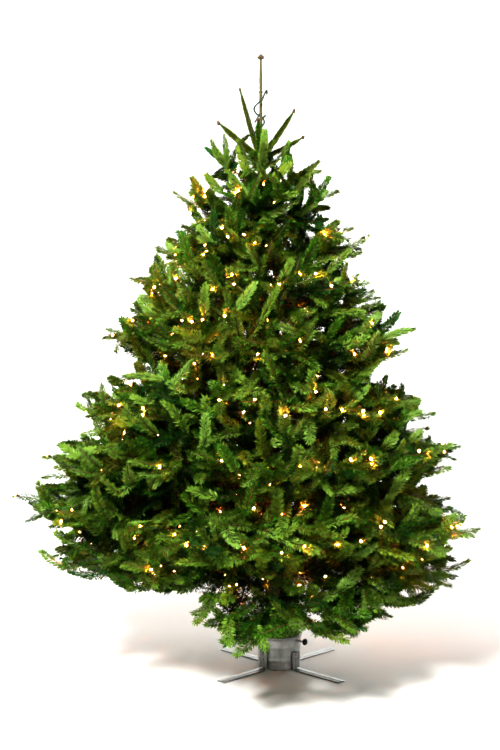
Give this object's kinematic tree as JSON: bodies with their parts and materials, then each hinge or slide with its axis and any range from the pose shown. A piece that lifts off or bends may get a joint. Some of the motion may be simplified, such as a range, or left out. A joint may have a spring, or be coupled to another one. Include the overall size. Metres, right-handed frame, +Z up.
{
  "type": "christmas tree",
  "caption": "Cut fir dressed with strings of small warm-white lights, whole and full all round, held by screws in a round metal stand with flat feet.",
  "frame": {"origin": "centre of the flat underside of the stand's pot, on the floor", "axes": "+Z up the trunk; -Y towards the tree's best side; -X towards the longest bough"},
  "size_m": [1.5178, 1.3781, 2.1],
  "materials": {
    "bark": "rough grey-brown bark",
    "young_bark": "smooth olive-brown young bark",
    "needles": "dark green needles with a waxy sheen",
    "young_needles": "lighter yellow-green needles of this year's shoots",
    "buds": "brown, a little resinous",
    "stand_pot": "pale grey, satin",
    "stand_steel": "zinc plated",
    "light_wire": "dark green sleeve",
    "light_bulb": "small lit bulb, warm white"
  },
  "bodies": {
    "root": {"bough_8_1": "young_bark", "bough_8_2": "young_bark", "bough_8_3": "young_bark", "bough_8_4": "young_bark", "bough_9_1": "young_bark", "bough_9_2": "young_bark", "bough_9_3": "young_bark", "foliage_1_1": "needles", "foliage_1_2": "needles", "foliage_1_3": "needles", "foliage_1_4": "needles", "foliage_1_5": "needles", "foliage_2_1": "needles", "foliage_2_2": "needles", "foliage_2_3": "needles", "foliage_2_4": "needles", "foliage_2_5": "needles", "foliage_3_1": "needles", "foliage_3_2": "needles", "foliage_3_3": "needles", "foliage_3_4": "needles", "foliage_3_5": "needles", "foliage_4_1": "needles", "foliage_4_2": "needles", "foliage_4_3": "needles", "foliage_4_4": "needles", "foliage_5_1": "needles", "foliage_5_2": "needles", "foliage_5_3": "needles", "foliage_5_4": "needles", "foliage_6_1": "needles", "foliage_6_2": "needles", "foliage_6_3": "needles", "foliage_6_4": "needles", "foliage_7_1": "needles", "foliage_7_2": "needles", "foliage_7_3": "needles", "foliage_7_4": "needles", "foliage_8_1": "young_needles", "foliage_8_2": "young_needles", "foliage_8_3": "young_needles", "foliage_8_4": "young_needles", "foliage_9_1": "young_needles", "foliage_9_2": "young_needles", "foliage_9_3": "young_needles", "stand_foot_1": "stand_steel", "stand_foot_2": "stand_steel", "stand_foot_3": "stand_steel", "stand_foot_4": "stand_steel", "stand_pot": "stand_pot", "stand_screw_1": "stand_steel", "stand_screw_2": "stand_steel", "stand_screw_3": "stand_steel", "top_shoot_1": "young_needles", "top_shoot_2": "young_needles", "top_shoot_3": "young_needles", "top_shoot_4": "young_needles", "top_shoot_5": "young_needles", "top_shoot_6": "young_needles", "trunk": "bark"}
  },
  "joints": []
}
